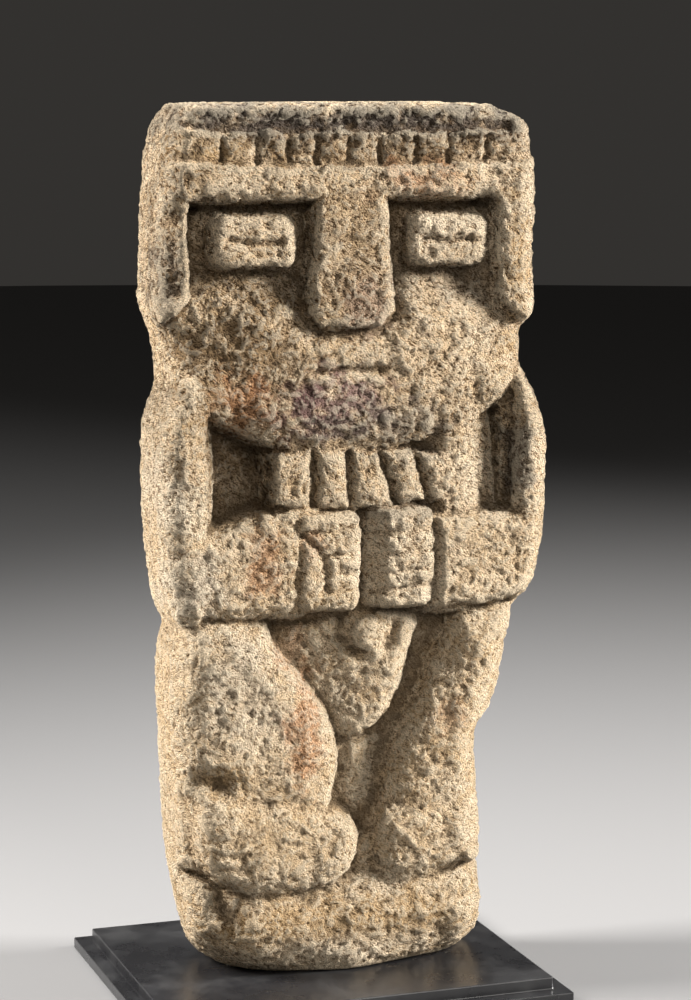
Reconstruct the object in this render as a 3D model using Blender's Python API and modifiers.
"""A carved stone figurine standing on its stepped black plinth.

The figure is one block of volcanic tuff. Its outline follows a list of heights with a left and a
right half width, and its front is carved in deep relief: every form (arm, hand, leg, nose) is a
flat outline in the front plane, raised to its own level with a rounded edge and a steep wall.
Levels are counted from the block's front plane, 0 at the plane and negative towards the back.

Sizes are millimetres. MM turns them into Blender's metres when a mesh is made.
"""
import math

import bmesh
import bpy
import numpy as np
from mathutils import Vector, noise

MM = 0.001

# ---- driving sizes -------------------------------------------------------------------------
FIGURE_HEIGHT = 500.0      # the stone alone, underside to top of the head
FIGURE_SHIFT = 8.0         # the figure stands this far right of the plinth's middle
FRONT = -45.0              # front plane of the block, at the base
BACK_LOW, BACK_HIGH = 45.0, 39.0   # the back leans in a little towards the head

PLINTH_FOOT = (248.0, 198.0, 6.7)  # lower step: width, depth, height
PLINTH_STEP = (222.0, 172.0, 7.3)  # upper step
PLINTH_EDGE = 0.7                  # its polished edges
RESTING_GAP = 0.3                  # between the stone and the plinth

# Side outline of the block: height, reach to the left, reach to the right.
OUTLINE = (
    (0, 68, 85), (5, 78, 88.5), (14, 86, 89), (30, 91, 86.5), (60, 97, 84), (110, 101, 81.5),
    (138, 101.5, 81), (149, 103, 90), (170, 103.5, 96), (196, 100.5, 101), (204, 97, 102.5),
    (214, 102.5, 107), (226, 105.5, 115), (240, 108, 118.5), (272, 111, 122.5), (302, 111, 122.5),
    (322, 109.5, 119), (338, 103.5, 113), (346, 101, 108), (371, 105, 107.5), (380, 109.5, 114),
    (390, 112.5, 114.5), (420, 110.5, 111.5), (450, 109.5, 113), (474, 107, 111.5),
    (490, 104, 108), (500, 96, 84),
)
OUTLINE_SOFTNESS = 3.0     # heights are blended over this much
FRONT_CORNER = 13.0        # plan radius of the front corners above the waist
LEG_CORNER = 19.0          # the same below it
BASE_CORNERS = (40.0, 32.0)        # the same at the underside, left and right, worn round
BACK_CORNER = 42.0
BASE_TOP = 57.0            # the integral base ends here and the feet begin
WAIST = 205.0              # the forearms' lower edge
TOP_EDGE = 7.0
FOOT_WEAR = 4.0
PROW, PROW_TOP = 0.30, 34.0          # the underside's front edge runs back from its middle

# Levels, from the front plane
GROUND = -21.0             # the background between the limbs
BASE_LEVEL, UNDER_FEET = -3.0, -6.5    # the base, and where it tucks in under the feet
TORSO = -15.0
WINDOW = -26.0             # the deep hollow between the left arm and the chest
CHANNEL = -29.0            # the narrow one beside the right arm
BASE_FLATS = (             # chisel flats on the base: middle, half size, turn in degrees, level
    ((-20, 16), (32, 9), 8, -4.0), ((-36, 28), (16, 6), -38, -6.0), ((48, 22), (24, 8), -12, -5.0),
    ((10, 36), (30, 5), 3, -8.0), ((68, 34), (12, 6), 40, -7.0), ((-64, 14), (14, 8), -25, -5.5),
)
NECKLACE = (               # the corners of its five blocks, each from its upper left
    ((-45, 304), (-22.5, 306), (-22, 273), (-45, 275)),
    ((-18.5, 306), (-2, 306), (0, 272), (-18, 273)),
    ((3, 305), (17.5, 303), (27.5, 272), (2.5, 271)),
    ((21.5, 303), (39, 302), (47, 275), (31.5, 272)),
    ((43, 300), (67, 299), (68, 278), (51, 273)),
)
EDGE_DRIFT, DRIFT_SIZE = 1.1, 26.0     # how far hand-cut edges stray, and over what length

# Head and face, worked out from the brow and the chin
HEAD_MIDDLE = 0.5
BROW = 447.0               # lower edge of the brow band
CHIN = 303.0               # lowest point of the jaw
JAW_RISE, JAW_HALF = 42.0, 108.0
BAND_LOW, BAND_HIGH = 466.5, 484.0     # the row of squares
BAND_JOINTS = (-76, -55.5, -37.5, -21, -2.5, 17.5, 37.5, 57.5, 81)
LAPPET_IN, LAPPET_END = 95.5, 381.0    # the hair that hangs beside the face
FACE_HEIGHT = BROW - CHIN
EYE_LINE = BROW - FACE_HEIGHT / 6.2
NOSE_END = BROW - FACE_HEIGHT / 2
MOUTH = NOSE_END - FACE_HEIGHT / 6
NOSE_HALF_TOP, NOSE_HALF_END = 20.0, 26.0
EYE_HALF, EYE_TALL = LAPPET_IN / 4, 14.0
EYE_OUT = (NOSE_HALF_TOP + LAPPET_IN) / 2    # each eye midway between the nose and the hair

# Mesh
LATTICE = 2.0              # spacing of the points that are carved
FUSE_VOXEL = 2.1
SMOOTH_PASSES = 2
FIGURE_TRIANGLES = 9200

TUFF_COLOUR = (0.60, 0.47, 0.31, 1.0)
BLACK_COLOUR = (0.012, 0.012, 0.014, 1.0)


# ---- flat shapes in the front plane: distance to the edge, negative inside -----------------
def rounded_box(x, z, middle, half, radius, turn=0.0):
    """A rectangle with round corners, turned by some degrees."""
    cos, sin = math.cos(math.radians(turn)), math.sin(math.radians(turn))
    dx, dz = x - middle[0], z - middle[1]
    across = np.abs(dx * cos + dz * sin) - (half[0] - radius)
    along = np.abs(dz * cos - dx * sin) - (half[1] - radius)
    outside = np.hypot(np.maximum(across, 0), np.maximum(along, 0))
    return outside + np.minimum(np.maximum(across, along), 0) - radius


def polyline(x, z, points):
    """Distance to an open line of straight runs."""
    best = np.full(x.shape, 1e9)
    for (ax, az), (bx, bz) in zip(points, points[1:]):
        run_x, run_z = bx - ax, bz - az
        share = ((x - ax) * run_x + (z - az) * run_z) / (run_x ** 2 + run_z ** 2)
        share = np.clip(share, 0, 1)
        best = np.minimum(best, np.hypot(x - ax - share * run_x, z - az - share * run_z))
    return best


def polygon(x, z, points):
    """A closed outline of any shape."""
    inside = np.zeros(x.shape, dtype=bool)
    closed = list(points) + [points[0]]
    for (ax, az), (bx, bz) in zip(closed, closed[1:]):
        if az != bz:
            crossing = (z >= min(az, bz)) & (z < max(az, bz))
            inside ^= crossing & (x < ax + (z - az) * (bx - ax) / (bz - az))
    return np.where(inside, -1.0, 1.0) * polyline(x, z, closed)


def curved(points, passes=2):
    """The same closed outline with its corners cut round."""
    for _ in range(passes):
        cut = []
        for (ax, az), (bx, bz) in zip(points, list(points[1:]) + [points[0]]):
            cut.append((0.75 * ax + 0.25 * bx, 0.75 * az + 0.25 * bz))
            cut.append((0.25 * ax + 0.75 * bx, 0.25 * az + 0.75 * bz))
        points = cut
    return points


def eased(share):
    """From 0 to 1 with a soft start and end."""
    share = np.clip(share, 0, 1)
    return share * share * (3 - 2 * share)


# ---- carving: each call lays one form on the relief, or cuts one into it ---------------------
def soft_max(a, b, blend):
    share = np.clip(0.5 + 0.5 * (a - b) / blend, 0, 1)
    return b + (a - b) * share + blend * share * (1 - share)


def raised(relief, edge, top, drop=4.0, roll=8.0, wall=4.0, blend=2.0):
    """A form whose top rolls off by drop over the last roll millimetres before its edge."""
    inward = np.clip(-edge / roll, 0, 1)
    crown = top - drop * (1 - np.sqrt(1 - (1 - inward) ** 2))
    return soft_max(relief, crown - np.maximum(edge, 0) * wall, blend)


def sunk(relief, edge, floor, wall=4.0, blend=2.0):
    """A hollow with a flat floor; the edge is where its wall meets the front plane."""
    cut = floor + wall * np.maximum(edge - floor / wall, 0)
    return -soft_max(-relief, -cut, blend)


def scored(relief, distance, depth, width):
    """A groove along a line."""
    return relief - depth * np.exp(-(distance / width) ** 2)


def base_and_legs(relief, x, z):
    """The base, two bent legs with the feet turned out, and the loincloth between them."""
    swell = eased((BASE_TOP - 8 - z) / 24)
    relief = raised(relief, z - BASE_TOP, UNDER_FEET + (BASE_LEVEL - UNDER_FEET) * swell, 8, 14,
                    wall=1.5, blend=4)
    left_leg = [(-135, 212), (-50, 212), (-47, 196), (-27, 172), (-11, 148), (-6, 128),
                (-11, 106), (-16, 88), (-24, 64), (-135, 64)]
    right_leg = [(135, 212), (66, 212), (56, 184), (42, 156), (30, 133), (24, 112), (22, 96),
                 (18, 84), (24, 64), (135, 64)]
    relief = raised(relief, polygon(x, z, curved(left_leg)), -3, drop=8, roll=24, wall=3)
    relief = raised(relief, polygon(x, z, curved(right_leg)), -2, drop=11, roll=28, wall=1.9,
                    blend=4)
    loincloth = [(-52, 212), (46, 212), (40, 190), (33, 167), (19, 144), (5, 134), (-8, 142),
                 (-28, 172)]
    lean = 11 * eased((26 - x) / 62)
    relief = raised(relief, polygon(x, z, curved(loincloth)), -9 - lean, drop=5, roll=11, wall=2.5)
    knot = rounded_box(x, z, (13, 198), (8, 10), 7)
    relief = raised(relief, knot, -8.0, drop=3, roll=6, wall=2)
    relief = scored(relief, polyline(x, z, [(-2, 207), (-1, 196), (6, 188)]), 3.8, 3.4)
    relief = scored(relief, polyline(x, z, [(29.5, 203), (24, 190)]), 3.6, 3.0)
    ridge = rounded_box(x, z, (9, 112), (8, 22), 8)
    relief = raised(relief, ridge, -17, drop=3, roll=9, wall=0.6, blend=9)
    between_feet = rounded_box(x, z, (11, 64), (12, 18), 10)
    return raised(relief, between_feet, -9, drop=7, roll=14, wall=0.8, blend=7)


def feet(relief, x, z):
    """Both feet, the hollow over the left ankle and the toes' lines."""
    relief = scored(relief, polyline(x, z, [(-88, 121), (-80, 118)]), 5.5, 6.5)
    beside_foot = polyline(x, z, [(-97, 108), (-95, 86), (-89, 66), (-77, 51)])
    relief = scored(relief, beside_foot, 6, 6)
    left_foot = [(-91, 100), (-86, 109), (-64, 106), (-30, 98), (-2, 94), (6, 76), (-3, 56),
                 (-30, 49), (-62, 50), (-82, 61), (-91, 80)]
    right_foot = [(17, 84), (23, 93), (44, 97), (86, 92), (86, 61), (72, 57), (38, 51), (19, 54)]
    left_edge = polygon(x, z, curved(left_foot, 1))
    right_edge = polygon(x, z, curved(right_foot, 1))
    relief = raised(relief, left_edge, 0, drop=7, roll=17, wall=2.5, blend=5)
    relief = raised(relief, right_edge, -2, drop=8, roll=17, wall=1.6, blend=8)
    relief = scored(relief, polyline(x, z, [(58, 54), (68, 56), (78, 60)]), 1.5, 3.0)
    relief = raised(relief, rounded_box(x, z, (75, 64), (6, 5), 4.5), 1, 4, 6, wall=2)
    for toe in range(3):
        toe_line = [(-87 + 3 * toe, 86 - 9 * toe), (-70 + 3 * toe, 82 - 8 * toe)]
        relief = scored(relief, polyline(x, z, toe_line), 1.4, 2.4)
    return relief


def base_scars(relief, x, z):
    """Broken hollows and the flats that the point chisel left on the base."""
    relief = scored(relief, polyline(x, z, [(-76, 42), (-73, 34)]), 7, 8)
    for middle, half, turn, floor in BASE_FLATS:
        cos, sin = math.cos(math.radians(turn)), math.sin(math.radians(turn))
        across = (x - middle[0]) * cos + (z - middle[1]) * sin
        edge = rounded_box(x, z, middle, half, 3, turn)
        relief = sunk(relief, edge, floor + 0.09 * across, wall=0.4, blend=1.0)
    return relief


def chest(relief, x, z):
    """A panel between the arms: deep on the left side, a narrow channel on the right."""
    panel = TORSO + 8 * eased((x - 44) / 18) - 7 * eased((x - 68) / 22)
    relief = raised(relief, rounded_box(x, z, (4, 290), (98, 82), 10), panel, drop=2, roll=14)
    window = [(-82, 257), (-82, 334), (-38, 318), (-38, 274), (-30, 270), (-30, 258)]
    floor = WINDOW + 4 - 8 * eased((x + 82) / 36)
    relief = sunk(relief, polygon(x, z, window), floor, wall=6)
    relief = scored(relief, polyline(x, z, [(-46, 268), (-38, 267)]), 6, 5)
    channel = [(80, 333), (100, 330), (101, 257), (90, 257)]
    floor = CHANNEL + 6 * eased((x - 92) / 14)
    return sunk(relief, polygon(x, z, channel), floor, wall=3.2)


def necklace(relief, x, z):
    for corners in NECKLACE:
        relief = raised(relief, polygon(x, z, corners), -6.5, drop=3, roll=5, wall=3.5, blend=1.2)
    return relief


def arms(relief, x, z):
    """Upper arms along the sides, then the forearms across the waist."""
    relief = raised(relief, rounded_box(x, z, (-109, 279), (24, 72), 14), -1, 7, 18, wall=1.9)
    relief = raised(relief, rounded_box(x, z, (128.5, 279), (28.5, 72), 14), -1, 7, 15, 4)
    forearm = [(-130, 219), (-104, 215), (-76, 211), (-12, 211), (-12, 274), (-36, 272), (-62, 265),
               (-84, 260), (-130, 258)]
    relief = raised(relief, polygon(x, z, curved(forearm, 1)), -2.5, drop=6, roll=15, wall=5)
    forearm = [(51, 212), (80, 214), (110, 219), (147, 224), (147, 265), (51, 264)]
    return raised(relief, polygon(x, z, forearm), -1, 3, 8, 2.5)


def hands(relief, x, z):
    """Two fists side by side, their fingers lying across."""
    left_hand = rounded_box(x, z, (-13.7, 241.5), (17.7, 28), 5, turn=-1.5)
    relief = raised(relief, left_hand, -1.5, drop=2.5, roll=4, wall=5)
    right_hand = rounded_box(x, z, (29.5, 241.5), (20.5, 28), 5)
    relief = raised(relief, right_hand, np.minimum(-1.5, -1.5 - 0.55 * (23 - x)), 2, 4, wall=5)
    relief = scored(relief, polyline(x, z, [(-32, 262), (-31, 215)]), 1.6, 2.0)
    relief = scored(relief, polyline(x, z, [(-29.5, 258), (-17.5, 245), (-15.5, 226)]), 2.4, 1.8)
    relief = scored(relief, polyline(x, z, [(-29.5, 258), (-14, 260), (3, 262)]), 2.0, 1.5)
    for height, start in ((246, -17), (235, -15), (223.5, -20)):
        relief = scored(relief, polyline(x, z, [(start, height), (3, height + 1.5)]), 1.7, 1.3)
    for height in (257, 245, 234, 223):
        finger = [(9, height - 1), (23, height), (49, height + 2)]
        relief = scored(relief, polyline(x, z, finger), 1.8, 1.3)
    return scored(relief, polyline(x, z, [(51, 267), (51.5, 216)]), 2.0, 1.8)


def head(relief, x, z):
    """The face, one convex mass, with the brow band and the lappets standing round it."""
    across = (x - HEAD_MIDDLE) / JAW_HALF
    jaw = CHIN + JAW_RISE * np.abs(across) ** 2.4
    slope = 2.4 * JAW_RISE / JAW_HALF * np.abs(across) ** 1.4
    under_jaw = (jaw - z) / np.hypot(1, slope)
    right_rim = eased((across - 0.6) / 0.2)
    sockets = (9 - 5 * right_rim) * eased((z - EYE_LINE + EYE_TALL + 30) / 34)
    mask = -5 - (8 - 3 * right_rim) * np.minimum(np.abs(across), 0.9) ** 4 - sockets
    mask = mask + (8 - 2 * right_rim) * eased((362 - z) / 30) * eased((np.abs(across) - 0.62) / 0.25)
    relief = raised(relief, under_jaw, mask, drop=9, roll=24, wall=5, blend=5)
    brow = BROW - z
    relief = raised(relief, brow, 0, drop=5, roll=10, wall=4)
    for side, inner, drop, wall in ((-1, -LAPPET_IN, 3, 5), (1, LAPPET_IN - 7, 1.5, 1.8)):
        lappet = [(inner, 480), (inner, LAPPET_END + 12), (inner + side * 13, LAPPET_END - 2),
                  (inner + side * 30, LAPPET_END - 6), (inner + side * 30, 480)]
        relief = raised(relief, polygon(x, z, lappet), -1, drop, roll=6, wall=wall)
        relief = scored(relief, np.hypot(x - inner + side * 8, z - BROW + 4), 8, 4.5)
    return scored(relief, polyline(x, z, [(-104, 436), (-104, 397)]), 4.5, 6.5)


def headband(relief, x, z):
    """Two ledges: the brow stands proud of the squares, the squares of the cap's recess."""
    sag = 3.0 * np.cos(x / 108 * math.pi / 2) - 1.5
    height = z + sag
    span = BAND_HIGH - BAND_LOW
    squares = rounded_box(x, height, (0, (BAND_LOW + BAND_HIGH) / 2), (112, span / 2), 1)
    relief = sunk(relief, squares, -1.2 - 3.0 * (BAND_HIGH - height) / span, wall=4, blend=1.0)
    ragged = 1.1 * np.sin(x / 7) + 0.8 * np.sin(x / 3.1 + 1)
    recess = rounded_box(x, height + ragged, (-2, BAND_HIGH + 6.5), (99, 6), 3)
    relief = sunk(relief, recess, -2.0 - 2.5 * eased((BAND_HIGH + 11 - height) / 11), 1.8, 1.5)
    for joint in BAND_JOINTS:
        line = [(joint, BAND_LOW + 1 - sag_at(joint)), (joint, BAND_HIGH - 1 - sag_at(joint))]
        relief = scored(relief, polyline(x, z, line), 2.8, 1.3)
    return relief


def sag_at(x):
    return 3.0 * math.cos(x / 108 * math.pi / 2) - 1.5


def face(relief, x, z):
    """Closed pillow eyes, a slab nose and a thin mouth, laid out by halves and sixths."""
    for side in (-1, 1):
        middle = (HEAD_MIDDLE + side * EYE_OUT, EYE_LINE)
        eye = rounded_box(x, z, middle, (EYE_HALF, EYE_TALL), 7)
        relief = raised(relief, eye, -3.5, drop=3, roll=6, wall=3.5, blend=1.5)
        slit = [(middle[0] - 15, EYE_LINE + 1), (middle[0], EYE_LINE - 1),
                (middle[0] + 15, EYE_LINE + 1)]
        relief = scored(relief, polyline(x, z, slit), 3.4, 1.7)
    left, right = HEAD_MIDDLE - NOSE_HALF_END, HEAD_MIDDLE + NOSE_HALF_END
    nose = [(HEAD_MIDDLE - NOSE_HALF_TOP, BROW + 8), (HEAD_MIDDLE + NOSE_HALF_TOP, BROW + 8),
            (right, NOSE_END + 8), (right - 8, NOSE_END), (left + 8, NOSE_END), (left, NOSE_END + 8)]
    edge = polygon(x, z, nose)
    relief = scored(relief, np.maximum(edge, 0) + 1e3 * (z > BROW), 4, 7)
    relief = raised(relief, edge, -1, drop=3, roll=6, wall=4)
    mouth = [(HEAD_MIDDLE - 20, MOUTH), (HEAD_MIDDLE + 20, MOUTH)]
    return scored(relief, polyline(x, z, mouth), 2.8, 2.0)


def front_relief(x, z):
    """Level of the carved front at each point, 0 at the block's front plane."""
    drift_x = EDGE_DRIFT * wobble(x, z * 0, z, DRIFT_SIZE, 21)
    drift_z = EDGE_DRIFT * wobble(x, z * 0, z, DRIFT_SIZE, 34)
    x, z = x + drift_x, z + drift_z
    relief = np.full(x.shape, GROUND)
    for stroke in (base_and_legs, feet, base_scars, chest, necklace, arms, hands, head,
                   headband, face):
        relief = stroke(relief, x, z)
    return relief


def back_relief(x, z):
    """The plain back: the end of the hair, the waist and the parting of the legs."""
    nape = np.clip((LAPPET_END - 24 - z) / 14, 0, 1) * np.clip((z - 290) / 50, 0, 1)
    relief = scored(-4 * nape, np.abs(z - WAIST), 2.5, 8)
    return scored(relief, polyline(x, z, [(2, 185), (0, 80)]), 3.5, 11)


# ---- the block ---------------------------------------------------------------------------------
def reach(z, column):
    """Half width of the block at each height, blended over a few millimetres."""
    heights = [row[0] for row in OUTLINE]
    widths = [row[column] for row in OUTLINE]
    steps = (-OUTLINE_SOFTNESS, 0.0, OUTLINE_SOFTNESS)
    return sum(np.interp(z + step, heights, widths) for step in steps) / len(steps)


def block_points(box):
    """Moves the points of a plain box (half sizes 1, 1 and height 0 to 1) onto the block."""
    z = box[:, 2] * FIGURE_HEIGHT
    left, right = reach(z, 1), reach(z, 2)
    middle, half = (right - left) / 2, (right + left) / 2
    down = np.clip(1 - z / 40, 0, 1)
    up = np.clip((z - FIGURE_HEIGHT + TOP_EDGE) / TOP_EDGE, 0, 1)
    worn = TOP_EDGE * (1 - np.sqrt(1 - up ** 2)) + FOOT_WEAR * np.clip(1 - z / 12, 0, 1) ** 2
    x = middle + box[:, 0] * half
    prow = PROW * (np.hypot(x, 10) - 10) * np.clip(1 - z / PROW_TOP, 0, 1) ** 1.5
    front = FRONT + worn + prow
    back = BACK_LOW + (BACK_HIGH - BACK_LOW) * z / FIGURE_HEIGHT - worn
    y = (front + back) / 2 + box[:, 1] * (back - front) / 2
    base_corner = np.where(box[:, 0] < 0, *BASE_CORNERS)
    leg_corner = FRONT_CORNER + (LEG_CORNER - FRONT_CORNER) * eased((WAIST - z) / 20)
    front_corner = leg_corner + (base_corner - leg_corner) * down
    corner = np.where(box[:, 1] < 0, front_corner, BACK_CORNER)
    corner = np.minimum(corner, (back - front) * 0.49)
    core_x = np.clip(x, middle - half + corner, middle + half - corner)
    core_y = np.clip(y, front + corner, back - corner)
    out_x, out_y = x - core_x, y - core_y
    length = np.maximum(np.hypot(out_x, out_y), 1e-6)
    square = np.maximum(np.abs(out_x), np.abs(out_y))
    bend = np.where(square > 1e-6, square / length, 1)
    return core_x + out_x * bend, core_y + out_y * bend, z


def wobble(x, y, z, size, seed):
    """Slow unevenness of a surface worked by hand, between about -1 and 1."""
    offset = Vector((seed, 2 * seed, 3 * seed))
    points = np.column_stack((x, y, z)) / size
    return np.array([noise.noise(Vector(point) + offset) for point in points]) * 1.6


def carve(mesh):
    """Turns a closed lattice box into the carved figure, in place."""
    flat = np.empty(len(mesh.vertices) * 3)
    mesh.vertices.foreach_get("co", flat)
    box = flat.reshape(-1, 3)
    x, y, z = block_points(box)
    facing = eased((-y - 12) / 24) * (box[:, 1] < 0)
    behind = eased((y - 12) / 24) * (box[:, 1] > 0)
    y = y - front_relief(x, z) * facing + back_relief(x, z) * behind
    broken = 1 + 1.6 * np.clip(1 - z / 44, 0, 1)
    rough = 0.9 * wobble(x, y, z, 38, 1) + 0.45 * broken * wobble(x, y, z, 13, 5)
    resting = np.clip(z / 4, 0, 1)
    y = y + rough * resting * np.where(y < 0, 1, -1)
    x = x + 0.8 * wobble(x, y, z, 30, 9) * resting
    z = z + 1.2 * wobble(x, y, z, 45, 13) * np.clip((z - 480) / 20, 0, 1)
    mesh.vertices.foreach_set("co", (np.column_stack((x, y, z)) * MM).ravel())
    mesh.update()


# ---- objects -----------------------------------------------------------------------------------
def clear_scene():
    for item in list(bpy.data.objects):
        bpy.data.objects.remove(item, do_unlink=True)


def material(name, colour, roughness, metallic=0.0):
    finish = bpy.data.materials.new(name)
    finish.use_nodes = True
    shader = finish.node_tree.nodes["Principled BSDF"]
    shader.inputs["Base Color"].default_value = colour
    shader.inputs["Roughness"].default_value = roughness
    shader.inputs["Metallic"].default_value = metallic
    return finish


def lattice_box(spacing):
    """A closed box of half size 1 and height 0 to 1, cut into cells of about one spacing."""
    shape = bmesh.new()
    bmesh.ops.create_cube(shape, size=2.0)
    bmesh.ops.translate(shape, verts=shape.verts, vec=(0, 0, 1))
    bmesh.ops.scale(shape, verts=shape.verts, vec=(1, 1, 0.5))
    reaches = (224.0, BACK_LOW - FRONT, FIGURE_HEIGHT)
    for axis, size in enumerate(reaches):
        along = [edge for edge in shape.edges
                 if abs((edge.verts[0].co - edge.verts[1].co)[axis]) > 1e-4]
        bmesh.ops.subdivide_edges(shape, edges=along, cuts=round(size / spacing) - 1,
                                  use_grid_fill=True)
    mesh = bpy.data.meshes.new("figure")
    shape.to_mesh(mesh)
    shape.free()
    return mesh


def applied(item):
    """The object with its modifiers made real."""
    depsgraph = bpy.context.evaluated_depsgraph_get()
    mesh = bpy.data.meshes.new_from_object(item.evaluated_get(depsgraph))
    item.modifiers.clear()
    item.data = mesh
    return mesh


def make_figure(collection):
    mesh = lattice_box(LATTICE)
    carve(mesh)
    figure = bpy.data.objects.new("figure", mesh)
    figure.location = (FIGURE_SHIFT * MM, 0, (PLINTH_FOOT[2] + PLINTH_STEP[2] + RESTING_GAP) * MM)
    collection.objects.link(figure)
    fuse = figure.modifiers.new("fuse", "REMESH")
    fuse.mode = "VOXEL"
    fuse.voxel_size = FUSE_VOXEL * MM
    soften = figure.modifiers.new("soften", "SMOOTH")
    soften.factor = 0.4
    soften.iterations = SMOOTH_PASSES
    triangles = sum(len(face.vertices) - 2 for face in applied(figure).polygons)
    thin = figure.modifiers.new("thin", "DECIMATE")
    thin.ratio = FIGURE_TRIANGLES / triangles
    figure.data.materials.append(material("volcanic tuff", TUFF_COLOUR, 0.95))
    return figure


def make_plinth(collection):
    """One black block with a step: the foot slab's top is inset and pulled up."""
    width, depth, height = PLINTH_FOOT
    shape = bmesh.new()
    bmesh.ops.create_cube(shape, size=1.0)
    bmesh.ops.scale(shape, verts=shape.verts, vec=(width * MM, depth * MM, height * MM))
    bmesh.ops.translate(shape, verts=shape.verts, vec=(0, 0, height * MM / 2))
    top = [face for face in shape.faces if face.normal.z > 0.9]
    ledge = (width - PLINTH_STEP[0]) / 2 * MM
    bmesh.ops.inset_region(shape, faces=top, thickness=ledge)
    raised_top = bmesh.ops.extrude_face_region(shape, geom=top)["geom"]
    lifted = [item for item in raised_top if isinstance(item, bmesh.types.BMVert)]
    bmesh.ops.translate(shape, verts=lifted, vec=(0, 0, PLINTH_STEP[2] * MM))
    bmesh.ops.delete(shape, geom=[face for face in top if face.is_valid], context="FACES")
    bmesh.ops.recalc_face_normals(shape, faces=shape.faces)
    mesh = bpy.data.meshes.new("plinth")
    shape.to_mesh(mesh)
    shape.free()
    plinth = bpy.data.objects.new("plinth", mesh)
    collection.objects.link(plinth)
    edges = plinth.modifiers.new("polished edges", "BEVEL")
    edges.width = PLINTH_EDGE * MM
    edges.segments = 2
    plinth.data.materials.append(material("black plinth", BLACK_COLOUR, 0.2))
    return plinth


def main():
    clear_scene()
    collection = bpy.data.collections.new("stone figurine")
    bpy.context.scene.collection.children.link(collection)
    make_plinth(collection)
    make_figure(collection)


main()
